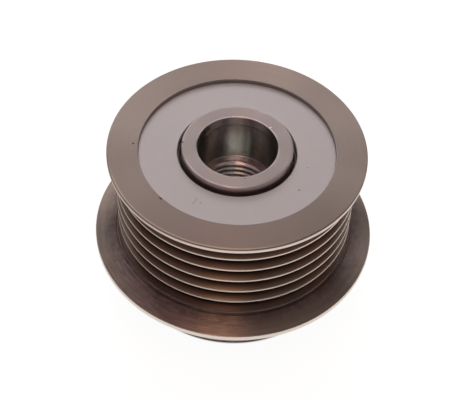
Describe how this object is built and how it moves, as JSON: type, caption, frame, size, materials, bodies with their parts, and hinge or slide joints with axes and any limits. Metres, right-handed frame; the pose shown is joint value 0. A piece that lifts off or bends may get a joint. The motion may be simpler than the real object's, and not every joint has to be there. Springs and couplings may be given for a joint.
{
  "type": "overrunning alternator pulley",
  "caption": "Flanged, grooved belt pulley that freewheels on a bored and threaded hub through ball bearings and a one-way roller clutch.",
  "frame": {"origin": "centre of the collar's front face, on which the pulley stands", "axes": "+Z along the pulley's axis, from the front collar towards the alternator side; X and Y across it"},
  "size_m": [0.0624, 0.0624, 0.0382],
  "materials": {
    "phosphated_steel": "satin phosphated and oiled, with fine turning marks",
    "hub_steel": "satin turned",
    "plated_sheet": "matte plated",
    "bearing_steel": "ground",
    "spring_steel": "bright strip",
    "cage_plastic": "moulded",
    "seal_rubber": "matte"
  },
  "bodies": {
    "pulley": {"pulley_body": "phosphated_steel", "rear_cover_plate": "plated_sheet", "rear_seal": "seal_rubber", "front_seal": "seal_rubber", "rear_bearing_outer_ring": "bearing_steel", "front_bearing_outer_ring": "bearing_steel", "clutch_cam_ring": "bearing_steel", "clutch_cage": "cage_plastic", "clutch_spring_1": "spring_steel", "clutch_spring_2": "spring_steel", "clutch_spring_3": "spring_steel", "clutch_spring_4": "spring_steel", "clutch_spring_5": "spring_steel", "clutch_spring_6": "spring_steel", "clutch_spring_7": "spring_steel", "clutch_spring_8": "spring_steel"},
    "hub": {"hub": "hub_steel", "rear_bearing_inner_ring": "bearing_steel", "front_bearing_inner_ring": "bearing_steel"},
    "rear_ball_set": {"rear_bearing_cage": "cage_plastic", "rear_ball_01": "bearing_steel", "rear_ball_02": "bearing_steel", "rear_ball_03": "bearing_steel", "rear_ball_04": "bearing_steel", "rear_ball_05": "bearing_steel", "rear_ball_06": "bearing_steel", "rear_ball_07": "bearing_steel", "rear_ball_08": "bearing_steel", "rear_ball_09": "bearing_steel", "rear_ball_10": "bearing_steel", "rear_ball_11": "bearing_steel", "rear_ball_12": "bearing_steel"},
    "front_ball_set": {"front_bearing_cage": "cage_plastic", "front_ball_01": "bearing_steel", "front_ball_02": "bearing_steel", "front_ball_03": "bearing_steel", "front_ball_04": "bearing_steel", "front_ball_05": "bearing_steel", "front_ball_06": "bearing_steel", "front_ball_07": "bearing_steel", "front_ball_08": "bearing_steel", "front_ball_09": "bearing_steel", "front_ball_10": "bearing_steel", "front_ball_11": "bearing_steel", "front_ball_12": "bearing_steel"},
    "clutch_roller_set": {"clutch_roller_1": "bearing_steel", "clutch_roller_2": "bearing_steel", "clutch_roller_3": "bearing_steel", "clutch_roller_4": "bearing_steel", "clutch_roller_5": "bearing_steel", "clutch_roller_6": "bearing_steel", "clutch_roller_7": "bearing_steel", "clutch_roller_8": "bearing_steel"}
  },
  "joints": [
    {"name": "hub_spin", "type": "hinge", "parent": "pulley", "child": "hub", "pos_m": [0, 0, 0.0205], "axis": [0, 0, 1], "continuous": true},
    {"name": "rear_ball_orbit", "type": "hinge", "parent": "pulley", "child": "rear_ball_set", "pos_m": [0, 0, 0.0288], "axis": [0, 0, 1], "continuous": true},
    {"name": "front_ball_orbit", "type": "hinge", "parent": "pulley", "child": "front_ball_set", "pos_m": [0, 0, 0.01], "axis": [0, 0, 1], "continuous": true},
    {"name": "roller_wedge", "type": "hinge", "parent": "pulley", "child": "clutch_roller_set", "pos_m": [0, 0, 0.0194], "axis": [0, 0, 1], "range_deg": [-1.5, 0]}
  ],
  "couplings": [
    {"joint": "rear_ball_orbit", "follows": "hub_spin", "ratio": 0.4435},
    {"joint": "front_ball_orbit", "follows": "hub_spin", "ratio": 0.4435}
  ]
}
